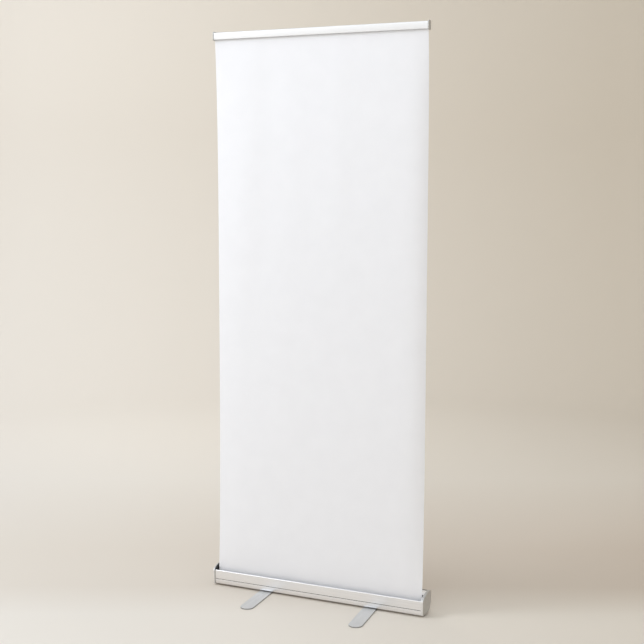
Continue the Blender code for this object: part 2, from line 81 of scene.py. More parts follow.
# ================================================================ camera
F_PIXELS = 1215.0
AZIMUTH, PITCH, ROLL = math.radians(24.82), math.radians(6.58), math.radians(0.152)
forward = Vector((-math.sin(AZIMUTH) * math.cos(PITCH), math.cos(AZIMUTH) * math.cos(PITCH), -math.sin(PITCH)))
right = Vector((math.cos(AZIMUTH), math.sin(AZIMUTH), 0.0))
above = right.cross(forward)
right2 = math.cos(ROLL) * right + math.sin(ROLL) * above
above2 = -math.sin(ROLL) * right + math.cos(ROLL) * above
camera_data = bpy.data.cameras.new("camera")
camera_data.sensor_width = 36.0
camera_data.lens = F_PIXELS / 644 * 36.0
camera = bpy.data.objects.new("camera", camera_data)
bpy.context.scene.collection.objects.link(camera)
camera.matrix_world = Matrix.Translation((1.896, -4.07498 + BASE_Y * MM, 1.579)) @ Matrix((right2, above2, -forward)).transposed().to_4x4()
bpy.context.scene.camera = camera


# ================================================================ materials
def material(name, colour, metallic, roughness):
    """A Principled material and the handles that the detail is wired to."""
    made = bpy.data.materials.new(name)
    made.use_nodes = True
    tree = made.node_tree
    shader = tree.nodes["Principled BSDF"]
    shader.inputs["Base Color"].default_value = (*colour, 1.0)
    shader.inputs["Metallic"].default_value = metallic
    shader.inputs["Roughness"].default_value = roughness
    return made, tree, shader


def place(tree, scale, turn=(0.0, 0.0, 0.0)):
    """Object coordinates in metres, scaled a different amount along each axis."""
    where = tree.nodes.new("ShaderNodeTexCoord")
    mapping = tree.nodes.new("ShaderNodeMapping")
    mapping.inputs["Scale"].default_value = scale
    mapping.inputs["Rotation"].default_value = turn
    tree.links.new(where.outputs["Object"], mapping.inputs["Vector"])
    return mapping.outputs["Vector"]


def grain(tree, vector, scale, detail=3.0, rough=0.55):
    made = tree.nodes.new("ShaderNodeTexNoise")
    made.inputs["Scale"].default_value = scale
    made.inputs["Detail"].default_value = detail
    made.inputs["Roughness"].default_value = rough
    tree.links.new(vector, made.inputs["Vector"])
    return made.outputs["Fac"]


def spread(tree, value, low, high, at=(0.3, 0.7)):
    """The value's range `at` stretched to low..high."""
    made = tree.nodes.new("ShaderNodeMapRange")
    made.inputs["From Min"].default_value, made.inputs["From Max"].default_value = at
    made.inputs["To Min"].default_value, made.inputs["To Max"].default_value = low, high
    tree.links.new(value, made.inputs["Value"])
    return made.outputs["Result"]


def tones(tree, value, dark, light, at=(0.3, 0.7)):
    ramp = tree.nodes.new("ShaderNodeValToRGB")
    ramp.color_ramp.elements[0].position, ramp.color_ramp.elements[1].position = at
    ramp.color_ramp.elements[0].color = (*dark, 1.0)
    ramp.color_ramp.elements[1].color = (*light, 1.0)
    tree.links.new(value, ramp.inputs["Fac"])
    return ramp.outputs["Color"]


def relief(tree, shader, heights):
    """Bumps chained onto the shader's normal, each (height, strength, distance)."""
    last = None
    for height, strength, distance in heights:
        bump = tree.nodes.new("ShaderNodeBump")
        bump.inputs["Strength"].default_value = strength
        bump.inputs["Distance"].default_value = distance
        tree.links.new(height, bump.inputs["Height"])
        if last:
            tree.links.new(last, bump.inputs["Normal"])
        last = bump.outputs["Normal"]
    tree.links.new(last, shader.inputs["Normal"])


def brushed(name, along, dark, light, rough, metallic=1.0, lines=1400.0):
    """Anodised extrusion: die lines run along one axis, under a fine even etch."""
    made, tree, shader = material(name, light, metallic, sum(rough) / 2)
    scale = [lines, lines, lines]
    scale["XYZ".index(along)] = 1.6
    streaks = grain(tree, place(tree, scale), 1.0, 4.0, 0.6)
    broad = [lines / 9] * 3
    broad["XYZ".index(along)] = 0.7
    bands = grain(tree, place(tree, broad), 1.0, 2.0)
    etch = grain(tree, place(tree, (1, 1, 1)), 2600.0, 2.0)
    mottle = grain(tree, place(tree, (1, 1, 1)), 9.0, 3.0)
    mixed = tree.nodes.new("ShaderNodeMath")
    mixed.operation = "ADD"
    tree.links.new(streaks, mixed.inputs[0])
    tree.links.new(bands, mixed.inputs[1])
    tree.links.new(tones(tree, mixed.outputs[0], dark, light, (0.75, 1.25)), shader.inputs["Base Color"])
    both = tree.nodes.new("ShaderNodeMath")
    both.operation = "ADD"
    tree.links.new(streaks, both.inputs[0])
    tree.links.new(mottle, both.inputs[1])
    tree.links.new(spread(tree, both.outputs[0], rough[0], rough[1], (0.7, 1.3)), shader.inputs["Roughness"])
    relief(tree, shader, [(streaks, 0.05, 0.00004), (etch, 0.05, 0.00003)])
    return made


ALUMINIUM = brushed("satin_aluminium", "X", (0.87, 0.87, 0.885), (0.92, 0.92, 0.935), (0.34, 0.40))
RAIL_ALU = brushed("satin_aluminium_rail", "X", (0.76, 0.76, 0.765), (0.80, 0.80, 0.805), (0.44, 0.50))
# A near-black copy of the aluminium, used as painted shade in the front groove and along the rear top edge
PAINTED_SHADE_ALU = brushed("aluminium_painted_shade_lines", "X", (0.10, 0.10, 0.10), (0.14, 0.14, 0.14), (0.45, 0.55))
MAST_ALU = brushed("satin_aluminium_mast", "Z", (0.78, 0.78, 0.78), (0.87, 0.87, 0.87), (0.24, 0.34))
# A dark copy of the aluminium, used as painted shade on the faces inside the cassette
PAINTED_SHADE_INSIDE_ALU = brushed("aluminium_inside_painted_shade", "X", (0.26, 0.26, 0.26), (0.32, 0.32, 0.32), (0.45, 0.55))
# A darker copy of the foot's aluminium, used as painted shade on the feet's side faces
FOOT_SIDE_PAINTED_SHADE = brushed("foot_aluminium_painted_side_shade", "Y", (0.30, 0.30, 0.30), (0.36, 0.36, 0.36), (0.42, 0.52), 0.85, lines=900.0)
FOOT_ALU = brushed("foot_aluminium", "Y", (0.62, 0.625, 0.625), (0.68, 0.685, 0.685), (0.42, 0.52), 0.85, lines=900.0)


def moulded(name, dark, light, metallic, rough, peel=0.12, flake=0.0):
    """Injection-moulded plastic: spark-eroded texture, faint flow clouds, and metal flake where it is painted."""
    made, tree, shader = material(name, light, metallic, sum(rough) / 2)
    fine = grain(tree, place(tree, (1, 1, 1)), 2400.0, 2.0)
    cloud = grain(tree, place(tree, (1, 1, 1)), 34.0, 3.0)
    colour = cloud
    if flake:
        cells = tree.nodes.new("ShaderNodeTexVoronoi")
        cells.inputs["Scale"].default_value = 3200.0
        tree.links.new(place(tree, (1, 1, 1)), cells.inputs["Vector"])
        add = tree.nodes.new("ShaderNodeMath")
        add.operation = "MULTIPLY_ADD"
        add.inputs[1].default_value = flake
        tree.links.new(cells.outputs["Distance"], add.inputs[0])
        tree.links.new(cloud, add.inputs[2])
        colour = add.outputs[0]
    tree.links.new(tones(tree, colour, dark, light, (0.35, 0.65 + flake / 2)), shader.inputs["Base Color"])
    tree.links.new(spread(tree, cloud, rough[0], rough[1]), shader.inputs["Roughness"])
    relief(tree, shader, [(fine, peel, 0.00005)])
    return made


SILVER = moulded("silver_plastic", (0.50, 0.50, 0.49), (0.60, 0.60, 0.59), 0.85, (0.33, 0.42), 0.10, 0.25)
BLACK = moulded("black_plastic", (0.012, 0.012, 0.013), (0.022, 0.022, 0.024), 0.0, (0.38, 0.50), 0.16)


def plated(name, dark, light, rough):
    """Zinc plate or drawn wire: cloudy tone with a few brighter spangles and a fine tooling grain."""
    made, tree, shader = material(name, light, 1.0, sum(rough) / 2)
    cloud = grain(tree, place(tree, (1, 1, 1)), 120.0, 5.0, 0.65)
    fine = grain(tree, place(tree, (1, 1, 1)), 1800.0, 2.0)
    tree.links.new(tones(tree, cloud, dark, light), shader.inputs["Base Color"])
    tree.links.new(spread(tree, cloud, rough[1], rough[0]), shader.inputs["Roughness"])
    relief(tree, shader, [(fine, 0.08, 0.00004)])
    return made


STEEL = plated("zinc_steel", (0.52, 0.54, 0.57), (0.68, 0.69, 0.71), (0.22, 0.36))
SPRING = plated("spring_steel", (0.22, 0.22, 0.24), (0.36, 0.36, 0.38), (0.28, 0.42))


def woven(name, dark, light, rough, thread=0.42, strength=0.22):
    """A coated polyester sheet: plain weave a fraction of a millimetre apart under a matt print coat."""
    made, tree, shader = material(name, light, 0.0, sum(rough) / 2)
    shader.inputs["Specular IOR Level"].default_value = 0.35
    bands = []
    for axis in ("X", "Z"):
        wave = tree.nodes.new("ShaderNodeTexWave")
        wave.wave_type = "BANDS"
        wave.bands_direction = axis
        wave.inputs["Scale"].default_value = math.tau / 20 / (thread * MM)
        wave.inputs["Distortion"].default_value = 0.6
        wave.inputs["Detail"].default_value = 1.0
        wave.inputs["Detail Scale"].default_value = 0.4
        tree.links.new(place(tree, (1, 1, 1)), wave.inputs["Vector"])
        bands.append(wave.outputs["Fac"])
    weave = tree.nodes.new("ShaderNodeMath")
    weave.operation = "ADD"
    tree.links.new(bands[0], weave.inputs[0])
    tree.links.new(bands[1], weave.inputs[1])
    cloud = grain(tree, place(tree, (1, 1, 1)), 14.0, 3.0)
    slub = grain(tree, place(tree, (900.0, 1.0, 40.0)), 1.0, 2.0)
    mix = tree.nodes.new("ShaderNodeMath")
    mix.operation = "MULTIPLY_ADD"
    mix.inputs[1].default_value = 0.35
    tree.links.new(slub, mix.inputs[0])
    tree.links.new(cloud, mix.inputs[2])
    tree.links.new(tones(tree, mix.outputs[0], dark, light, (0.45, 0.90)), shader.inputs["Base Color"])
    tree.links.new(spread(tree, cloud, rough[0], rough[1]), shader.inputs["Roughness"])
    relief(tree, shader, [(weave.outputs[0], strength, 0.00004)])
    return made


CLOTH = woven("white_banner", (0.880, 0.882, 0.912), (0.898, 0.900, 0.930), (0.50, 0.60))
LEADER = woven("leader_film", (0.66, 0.67, 0.69), (0.74, 0.75, 0.77), (0.38, 0.48), 0.5, 0.1)

OWN_LOOK = {
    "satin_aluminium": ALUMINIUM, "foot_aluminium": FOOT_ALU, "silver_plastic": SILVER, "black_plastic": BLACK,
    "zinc_steel": STEEL, "spring_steel": SPRING, "white_banner": CLOTH, "leader_film": LEADER,
}
NODE_SLOT = {
    "satin_aluminium": ("base_housing", "roller_tube", "mast_lower_tube", "mast_middle_tube", "mast_upper_tube", "top_rail"),
    "foot_aluminium": ("left_foot", "right_foot"),
    "silver_plastic": ("end_cap_left", "end_cap_right", "end_cover_left", "end_cover_right", "rail_plug_left", "rail_plug_right"),
    "spring_steel": ("torsion_spring",),
    "white_banner": ("banner",),
    "leader_film": ("banner_leader",),
}
SLOT_OF = {node: slot for slot, nodes in NODE_SLOT.items() for node in nodes}
STEEL_WORDS = ("screw", "bolt", "nut", "spindle", "idle_axle", "collet", "bracket")
for node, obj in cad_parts.items():
    slot = SLOT_OF.get(node) or ("zinc_steel" if any(w in node for w in STEEL_WORDS) else "black_plastic")
    SLOT_OF[node] = slot
    obj.data.materials.clear()
    obj.data.materials.append(OWN_LOOK[slot])


# ================================================================ ways to make a shape
def arc(centre, radius, start, end, count):
    return [
        (
            centre[0] + radius * math.cos(math.radians(start + (end - start) * i / count)),
            centre[1] + radius * math.sin(math.radians(start + (end - start) * i / count)),
        )
        for i in range(count + 1)
    ]


def flow(points, per=5, closed=False, straight=20.0, start=None):
    """A smooth line through points. A run longer than `straight` stays straight, and its neighbours leave it along it."""
    pts = [Vector(p) for p in points]
    count = len(pts)
    last = count if closed else count - 1
    chord = [pts[(i + 1) % count] - pts[i] for i in range(last)]

    def tangent(i):
        before = chord[i - 1] if (closed or i > 0) else None
        after = chord[i % last] if (closed or i < last) else None
        for run in (before, after):
            if run is not None and run.length > straight:
                return run.normalized()
        if before is None:
            return Vector(start).normalized() if start else after.normalized()
        if after is None:
            return before.normalized()
        return (before.normalized() + after.normalized()).normalized()

    made = []
    for i in range(last):
        a, b, size = pts[i], pts[(i + 1) % count], chord[i].length
        if size > straight:
            made.append(tuple(a))
            continue
        ma, mb = tangent(i) * size, tangent((i + 1) % count if closed else i + 1) * size
        for k in range(per):
            t = k / per
            h = (2 * t**3 - 3 * t**2 + 1, t**3 - 2 * t**2 + t, -2 * t**3 + 3 * t**2, t**3 - t**2)
            made.append(tuple(a * h[0] + ma * h[1] + b * h[2] + mb * h[3]))
    if not closed:
        made.append(tuple(pts[-1]))
    return made


def offset(points, by):
    """An open line moved to its left by a distance, corner by corner."""
    made = []
    for i, point in enumerate(points):
        here = Vector(point)
        sides = []
        if i > 0:
            sides.append((here - Vector(points[i - 1])).normalized())
        if i < len(points) - 1:
            sides.append((Vector(points[i + 1]) - here).normalized())
        normals = [Vector((-d.y, d.x)) for d in sides]
        normal = sum(normals, Vector((0, 0))).normalized()
        made.append(tuple(here + normal * by / max(normal.dot(normals[0]), 0.5)))
    return made


def add(name, mesh, look=None):
    obj = bpy.data.objects.new(name, mesh)
    WORK.objects.link(obj)
    if look:
        mesh.materials.clear()
        mesh.materials.append(look)
    return obj


def from_bmesh(name, shape, look=None):
    mesh = bpy.data.meshes.new(name)
    shape.to_mesh(mesh)
    shape.free()
    return add(name, mesh, look)


def settle(obj):
    """Modifiers applied and the object's matrix moved into its mesh, so that it sits at the origin."""
    bpy.context.view_layer.update()
    seen = obj.evaluated_get(bpy.context.evaluated_depsgraph_get())
    mesh = bpy.data.meshes.new_from_object(seen)
    mesh.transform(obj.matrix_world)
    name, looks = obj.name, list(obj.data.materials)
    old = obj.data
    bpy.data.objects.remove(obj, do_unlink=True)
    shape = bmesh.new()
    shape.from_mesh(mesh)
    bmesh.ops.remove_doubles(shape, verts=shape.verts, dist=0.0000015)
    bmesh.ops.dissolve_degenerate(shape, edges=shape.edges, dist=0.000001)
    bmesh.ops.recalc_face_normals(shape, faces=shape.faces)
    shape.to_mesh(mesh)
    shape.free()
    made = bpy.data.objects.new(name, mesh)
    WORK.objects.link(made)
    mesh.name = name
    mesh.materials.clear()
    for look in looks:
        if look:
            mesh.materials.append(look)
    if old.users == 0 and isinstance(old, bpy.types.Mesh):
        bpy.data.meshes.remove(old)
    return made


def smooth(obj, angle=32.0):
    obj.data.shade_smooth()
    obj.data.set_sharp_from_angle(angle=math.radians(angle))
    return obj


def slab(name, loops, thick, look=None):
    """A flat outline with its holes, extruded about its own plane, as a curve."""
    curve = bpy.data.curves.new(name, "CURVE")
    curve.dimensions = "2D"
    curve.fill_mode = "BOTH"
    curve.extrude = thick / 2 * MM
    for loop in loops:
        line = curve.splines.new("POLY")
        line.points.add(len(loop) - 1)
        for point, (a, b) in zip(line.points, loop):
            point.co = (a * MM, b * MM, 0.0, 1.0)
        line.use_cyclic_u = True
    return add(name, curve, look)


def across(name, loops, x_low, x_high, look=None):
    """A (y, z) section extruded along X."""
    obj = slab(name, loops, x_high - x_low, look)
    obj.rotation_euler = (math.pi / 2, 0.0, math.pi / 2)
    obj.location = ((x_low + x_high) / 2 * MM, BASE_Y * MM, 0.0)
    return settle(obj)


TURN_TO = {
    "X": Matrix.Rotation(math.pi / 2, 4, "Y"),
    "-X": Matrix.Rotation(-math.pi / 2, 4, "Y"),
    "Y": Matrix.Rotation(-math.pi / 2, 4, "X"),
    "Z": Matrix.Identity(4),
    "mast": Matrix.Rotation(LEAN, 4, "X"),
}


def put(at, along):
    return Matrix.Translation((at[0] * MM, (at[1] + BASE_Y) * MM, at[2] * MM)) @ TURN_TO[along]


def turned(name, profile, at, along, look, sides=64, closed=True, shape_it=None):
    """A turned piece from (radius, height) points down its outer side; shape_it moves a point after turning."""
    shape = bmesh.new()
    rings = []
    for r, h in profile:
        if r < 1e-6:
            rings.append([shape.verts.new((0.0, 0.0, h * MM))])
            continue
        ring = []
        for i in range(sides):
            angle = math.tau * i / sides
            rr, hh = (r, h) if shape_it is None else shape_it(r, h, angle)
            ring.append(shape.verts.new((rr * MM * math.cos(angle), rr * MM * math.sin(angle), hh * MM)))
        rings.append(ring)
    pairs = list(zip(rings, rings[1:])) + ([(rings[-1], rings[0])] if closed else [])
    for a, b in pairs:
        for i in range(sides):
            j = (i + 1) % sides
            if len(a) == 1 and len(b) == 1:
                break
            if len(a) == 1:
                shape.faces.new((a[0], b[i], b[j]))
            elif len(b) == 1:
                shape.faces.new((a[j], a[i], b[0]))
            else:
                shape.faces.new((a[j], a[i], b[i], b[j]))
    bmesh.ops.recalc_face_normals(shape, faces=shape.faces)
    bmesh.ops.transform(shape, matrix=put(at, along), verts=shape.verts)
    return smooth(from_bmesh(name, shape, look))


def rod(name, start, length, radius, along, sides=48):
    return turned(name, [(0, length), (radius, length), (radius, 0), (0, 0)], start, along, None, sides, closed=False)


def box(name, low, high, look=None):
    shape = bmesh.new()
    size = [(h - l) * MM for l, h in zip(low, high)]
    middle = [(h + l) / 2 * MM for l, h in zip(low, high)]
    middle[1] += BASE_Y * MM
    bmesh.ops.create_cube(shape, size=1.0, matrix=Matrix.Translation(middle) @ Matrix.Diagonal((*size, 1.0)))
    return from_bmesh(name, shape, look)


def combine(obj, how, *others):
    for other in others:
        step = obj.modifiers.new(how.title(), "BOOLEAN")
        step.operation = how
        step.solver = "EXACT"
        step.object = other
    made = settle(obj)
    for other in others:
        bpy.data.objects.remove(other, do_unlink=True)
    return made


def bevelled(obj, width, segments=3, angle=30.0):
    step = obj.modifiers.new("Edges", "BEVEL")
    step.width = width * MM
    step.segments = segments
    step.limit_method = "ANGLE"
    step.angle_limit = math.radians(angle)
    step.use_clamp_overlap = True
    step.harden_normals = False
    return settle(obj)


def stands_for(obj, node, body):
    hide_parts(node)
    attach(obj, body)
    return obj


# ================================================================ base cassette
LOWER_SKIN = [
    (-39.95, 22.5), (-39.8, 18.0), (-39.0, 12.2), (-37.1, 8.3), (-33.4, 6.2), (8.0, 6.2), (17.0, 7.4), (26.0, 11.2), (34.0, 18.4),
    (41.0, 27.0), (45.4, 35.0), (47.0, 42.0), (47.0, 67.5), (46.2, 72.8), (43.6, 77.4), (39.6, 80.4), (35.0, 81.7), (22.0, 81.3),
    (8.0, 80.1), (-3.0, 78.2),
]
curved = flow(LOWER_SKIN, 5, start=(0.0, -1.0))
skin = [(-40.0, 59.0), (-40.0, 27.85), (-39.85, 27.6), (-38.5, 27.6), (-38.5, 25.8), (-39.85, 25.8), (-40.0, 25.55)] + curved
inside = offset([(-40.0, 59.0), (-40.0, 31.0), (-38.8, 29.6), (-38.8, 23.9), (-39.9, 22.5)] + curved[1:], WALL)
lip = arc((-37.6, 59.4), 2.4, 180, 0, 14)[1:]
bead = arc((-6.2, 75.6), 2.5, 60, 300, 16)
section = skin + bead + list(reversed(inside))[1:-1] + [(-38.2, 54.6)] + list(reversed(lip))
housing = across("cassette_extrusion", [section], -HOUSING_HALF, HOUSING_HALF, ALUMINIUM)
SCREW_AT = ((-34.4, 11.6), (32.4, 20.6), (40.6, 74.6))
inner_work = [box("web", (-HOUSING_HALF + 1.6, 20.9, 10.3), (HOUSING_HALF - 1.6, 22.1, 80.3))]
for i, (y, z) in enumerate(SCREW_AT):
    short = 0.4 * (i + 1)
    inner_work.append(rod(f"boss_{i}", (-HOUSING_HALF + short, y, z), 2 * (HOUSING_HALF - short), 3.7, "X", 20))
housing = combine(housing, "UNION", *inner_work)
holes = [rod(f"channel_{i}", (-HOUSING_HALF - 5, y, z), 2 * HOUSING_HALF + 10, 1.9, "X", 16) for i, (y, z) in enumerate(SCREW_AT)]
holes.append(rod("mast_hole", (0, MAST_BASE[0] + math.tan(LEAN) * 41.5, 38.5), 60, 10.8, "mast", 64))
holes += [rod(f"foot_hole_{side}", (x, FOOT_PIVOT_Y, 3), 8, 3.5, "Z", 24) for side, x in FOOT_X.items()]
housing = smooth(combine(housing, "DIFFERENCE", *holes), 28)
for look in (PAINTED_SHADE_ALU, PAINTED_SHADE_INSIDE_ALU):
    housing.data.materials.append(look)
for face in housing.data.polygons:
    y, z = face.center.y / MM - BASE_Y, face.center.z / MM
    if abs(face.normal.x) > 0.5:
        continue
    if (-39.9 < y < -38.3 and 25.7 < z < 27.75) or (27.0 < y < 44.0 and z > 77.5):  # painted shade: the groove and the rear top edge get a near-black copy of the aluminium
        face.material_index = 1
    # painted shade: faces inside the cassette get the dark copy of the aluminium
    elif face.normal.y * -y + face.normal.z * (40.0 - z) > 0 and -38.0 < y < 46.0 and z < 57.0:
        face.material_index = 2
stands_for(housing, "base_housing", "base")

# ================================================================ end caps and covers
CAP_OUTLINE = [
    (-40.6, 26.4), (-40.6, 58.0), (-39.7, 61.4), (-37.0, 64.4), (-31.0, 69.2), (-24.0, 73.2), (-14.0, 76.4),
    (0.0, 79.2), (14.0, 81.4), (27.0, 82.4), (35.0, 82.5), (40.0, 81.2), (44.3, 78.0), (47.0, 73.2), (47.7, 67.6),
    (47.7, 42.0), (46.1, 34.8), (41.6, 26.6), (34.6, 18.0), (26.3, 10.6), (17.1, 6.7), (8.0, 5.5), (-33.6, 5.5),
    (-37.7, 7.8), (-39.7, 12.0), (-40.5, 18.0),
]
cap_line = flow(CAP_OUTLINE, 4, closed=True)
PEG_AT = ((-24.0, 54.0), (22.0, 62.0))
for side, sign, along in (("left", -1, "-X"), ("right", 1, "X")):
    span = sorted((sign * CAP_IN, sign * (CAP_IN + CAP_THICK)))
    cap = bevelled(across(f"bearing_cap_{side}", [cap_line], *span, SILVER), 0.3, 2, 50)
    cuts = [rod(f"bearing_{side}", (sign * (CAP_IN - 3), -1.0, 36.0), 20, 4.4, along, 40)]
    for i, (y, z) in enumerate(SCREW_AT):
        cuts.append(rod(f"hole_{side}_{i}", (sign * (CAP_IN - 3), y, z), 20, 1.9, along, 16))
        cuts.append(rod(f"sink_{side}_{i}", (sign * (CAP_IN + 2.7), y, z), 10, 3.7, along, 28))
    for i, (y, z) in enumerate(PEG_AT):
        cuts.append(rod(f"peg_hole_{side}_{i}", (sign * (CAP_IN + 1.2), y, z), 12, 2.4, along, 20))
    cap = smooth(combine(cap, "DIFFERENCE", *cuts))
    cap.data.materials.append(BLACK)  # the face towards the roller carries the black bearing moulding
    cap.data.materials.append(ALUMINIUM)  # in front it is foiled like the extrusion
    for face in cap.data.polygons:
        inwards = face.normal.x * sign < -0.5
        y, z = face.center.y / MM - BASE_Y, face.center.z / MM
        rim = side == "left" and abs(face.normal.x) < 0.6 and z > 61.0 and y < 0
        front = side == "right" and abs(face.normal.x) < 0.6 and z < 61.0 and y < -30
        face.material_index = 2 if front else 1 if rim or (inwards and abs(face.center.x / MM) < CAP_IN + 1.0) else 0
    stands_for(cap, f"end_cap_{side}", "base")
    low = CAP_IN + CAP_THICK + GAP
    cover = across(f"silver_cover_{side}", [cap_line], *sorted((sign * low, sign * (low + COVER_THICK))), SILVER)
    cover = bevelled(cover, 1.0, 4, 50)
    pegs = [rod(f"peg_{side}_{i}", (sign * (low - 3.6), y, z), 5.2, 2.0, along, 20) for i, (y, z) in enumerate(PEG_AT)]
    cover = smooth(combine(cover, "UNION", *pegs))
    cover.data.materials.append(ALUMINIUM)
    for face in cover.data.polygons:
        y, z = face.center.y / MM - BASE_Y, face.center.z / MM
        face.material_index = 1 if abs(face.normal.x) < 0.6 and z < 61.0 and y < -30 else 0
    stands_for(cover, f"end_cover_{side}", "base")

# ================================================================ swivel feet
for side, x in FOOT_X.items():
    ends = arc((0, -(FOOT_FRONT - TIP_R)), TIP_R, 180, 360, 44) + arc((0, FOOT_REAR - TIP_R), TIP_R, 0, 180, 44)
    foot = slab(f"foot_bar_{side}", [ends], FOOT_THICK, FOOT_ALU)
    foot.location = (x * MM, (FOOT_PIVOT_Y + BASE_Y) * MM, FOOT_THICK / 2 * MM)
    foot.rotation_euler = (0, 0, math.radians(FOOT_TURN[side]))
    foot = bevelled(settle(foot), 0.55, 3, 50)
    foot = combine(
        foot, "DIFFERENCE",
        rod(f"pivot_{side}", (x, FOOT_PIVOT_Y, -3), 12, 3.4, "Z", 28), rod(f"sink_{side}", (x, FOOT_PIVOT_Y, -4), 6.2, 7.2, "Z", 40),
    )
    foot.data.materials.append(FOOT_SIDE_PAINTED_SHADE)  # painted shade: the side faces get a darker copy of the foot's aluminium
    for face in foot.data.polygons:
        face.material_index = 1 if abs(face.normal.z) < 0.5 else 0
    stands_for(smooth(foot), f"{side}_foot", f"{side}_foot")

# ================================================================ mast
AT_MAST = (0, MAST_BASE[0], MAST_BASE[1])


def up(z):
    return (z - MAST_BASE[1]) / math.cos(LEAN)


def tube(r_out, r_in, low, high, ease=0.25):
    """A ring with eased ends."""
    return [
        (r_out - ease, up(high)), (r_out, up(high - ease)), (r_out, up(low + ease)), (r_out - ease, up(low)),
        (r_in + ease, up(low)), (r_in, up(low + ease)), (r_in, up(high - ease)), (r_in + ease, up(high)),
    ]


MAST_BODY = ("base", "mast_middle", "mast_upper")
for i, part in enumerate(("lower", "middle", "upper")):
    piece = turned(f"mast_tube_{part}", tube(MAST_R[i], MAST_R[i] - MAST_WALL, *MAST_Z[i]), AT_MAST, "mast", MAST_ALU, 72)
    stands_for(piece, f"mast_{part}_tube", MAST_BODY[i])

socket = turned(
    "mast_socket_cup",
    [
        (0, up(41.8)), (9.1, up(41.8)), (9.35, up(42.1)), (9.35, up(84.0)), (9.6, up(84.2)), (11.2, up(84.2)), (11.6, up(83.9)),
        (11.6, up(83.0)), (11.4, up(82.8)), (10.5, up(82.6)), (10.5, up(40.2)), (10.1, up(39.8)), (0, up(39.8)),
    ],
    AT_MAST, "mast", BLACK, 64, closed=False,
)
stands_for(socket, "mast_socket", "base")

LOCK_BODY = {"lower": "lower_lock", "upper": "upper_lock"}
for i, name in enumerate(("lower", "upper")):
    low, high = LOCK_Z[i]
    outer, inner = MAST_R[i] + 0.35, MAST_R[i + 1] + 0.35
    grip = outer + 3.6
    ribs_low, ribs_high = up(low + 3.4), up(high - 9.0)

    def fluted(r, h, angle, grip=grip, lo=up(low), hi=up(high)):
        """Shallow finger flutes round the grip, fading out at its ends."""
        if r < grip - 1.0:
            return r, h
        along = min(max((h - lo - 2.0) / 5.0, 0.0), 1.0) * min(max((hi - 7.0 - h) / 5.0, 0.0), 1.0)
        return r - 0.75 * along * (0.5 - 0.5 * math.cos(16 * angle)) ** 2, h

    outside = [
        (inner + 0.9, up(high)), (inner + 1.6, up(high) - 0.2), (grip - 1.6, up(high - 4.6)), (grip - 0.7, up(high - 5.9)), (grip - 0.15, up(high - 7.4)),
        (grip, up(high - 8.6)),
    ]
    steps = 9
    outside += [(grip, up(high - 8.6 - (21.2 * k / steps))) for k in range(1, steps + 1)]
    outside += [(grip - 0.2, up(high - 30.6)), (grip - 0.9, up(high - 31.6)), (grip - 0.9, up(low + 2.6)), (grip - 1.3, up(low + 1.4)), (outer + 1.4, up(low) + 0.1)]
    bore = [(outer + 0.3, up(low)), (outer, up(low) + 0.4), (outer, up(high - 6.0)), (inner, up(high - 6.0)), (inner, up(high) - 0.4), (inner + 0.3, up(high))]
    lock = turned(f"twist_grip_{name}", outside + bore, AT_MAST, "mast", BLACK, 128, shape_it=fluted)
    smooth(lock, 40)
    stands_for(lock, f"{name}_twist_lock", LOCK_BODY[name])
    collet = turned(f"collet_{name}", tube(MAST_R[i], inner, MAST_Z[i][1] + GAP, high - 6.4, 0.2), AT_MAST, "mast", STEEL, 64)
    stands_for(collet, f"{name}_lock_collet", MAST_BODY[i])

TAB_Z = (2117.6, 2119.6)
fitting = turned(
    "mast_pin_fitting",
    [
        (0, up(2125.0)), (1.6, up(2125.0)), (2.4, up(2124.5)), (2.9, up(2123.4)), (2.9, up(TAB_Z[0] - 0.4)), (4.7, up(TAB_Z[0] - 0.4)), (5.1, up(TAB_Z[0] - 0.8)),
        (6.5, up(2112.4)), (6.6, up(2112.0)), (6.6, up(2100.7)), (6.3, up(2100.4)), (4.8, up(2100.4)), (4.8, up(2080.4)), (4.4, up(2080.0)), (0, up(2078.0)),
    ],
    AT_MAST, "mast", BLACK, 48, closed=False,
)
stands_for(fitting, "mast_top_fitting", "mast_upper")

# ================================================================ top rail
y0, y1, T = RAIL_Y - RAIL_DEPTH / 2, RAIL_Y + RAIL_DEPTH / 2, 1.6
SLOT = (-23.6, -16.4)
rail_skin = (
    [(SLOT[0], RAIL_LOW)] + arc((y0 + 0.8, RAIL_LOW + 0.8), 0.8, 270, 180, 4) + arc((y0 + 5.5, RAIL_TOP - 5.5), 5.5, 180, 90, 16)
    + arc((y1 - 5.5, RAIL_TOP - 5.5), 5.5, 90, 0, 16) + arc((y1 - 0.8, RAIL_LOW + 0.8), 0.8, 0, -90, 4) + [(SLOT[1], RAIL_LOW)]
)
rail_inside = (
    [(SLOT[1], RAIL_LOW + T), (y1 - T, RAIL_LOW + T)] + arc((y1 - 5.5, RAIL_TOP - 5.5), 5.5 - T, 0, 90, 12)
    + arc((y0 + 5.5, RAIL_TOP - 5.5), 5.5 - T, 90, 180, 12) + [(y0 + T, RAIL_LOW + T), (SLOT[0], RAIL_LOW + T)]
)
rail = across("rail_extrusion", [rail_skin + rail_inside], -RAIL_LENGTH / 2, RAIL_LENGTH / 2, RAIL_ALU)
SCREW_Z = 2124.6
rail = combine(rail, "DIFFERENCE", *[rod(f"rail_hole_{x}", (x, y1 - 4, SCREW_Z), 8, 1.9, "Y", 20) for x in (-13, 13)])
stands_for(smooth(rail, 24), "top_rail", "mast_upper")

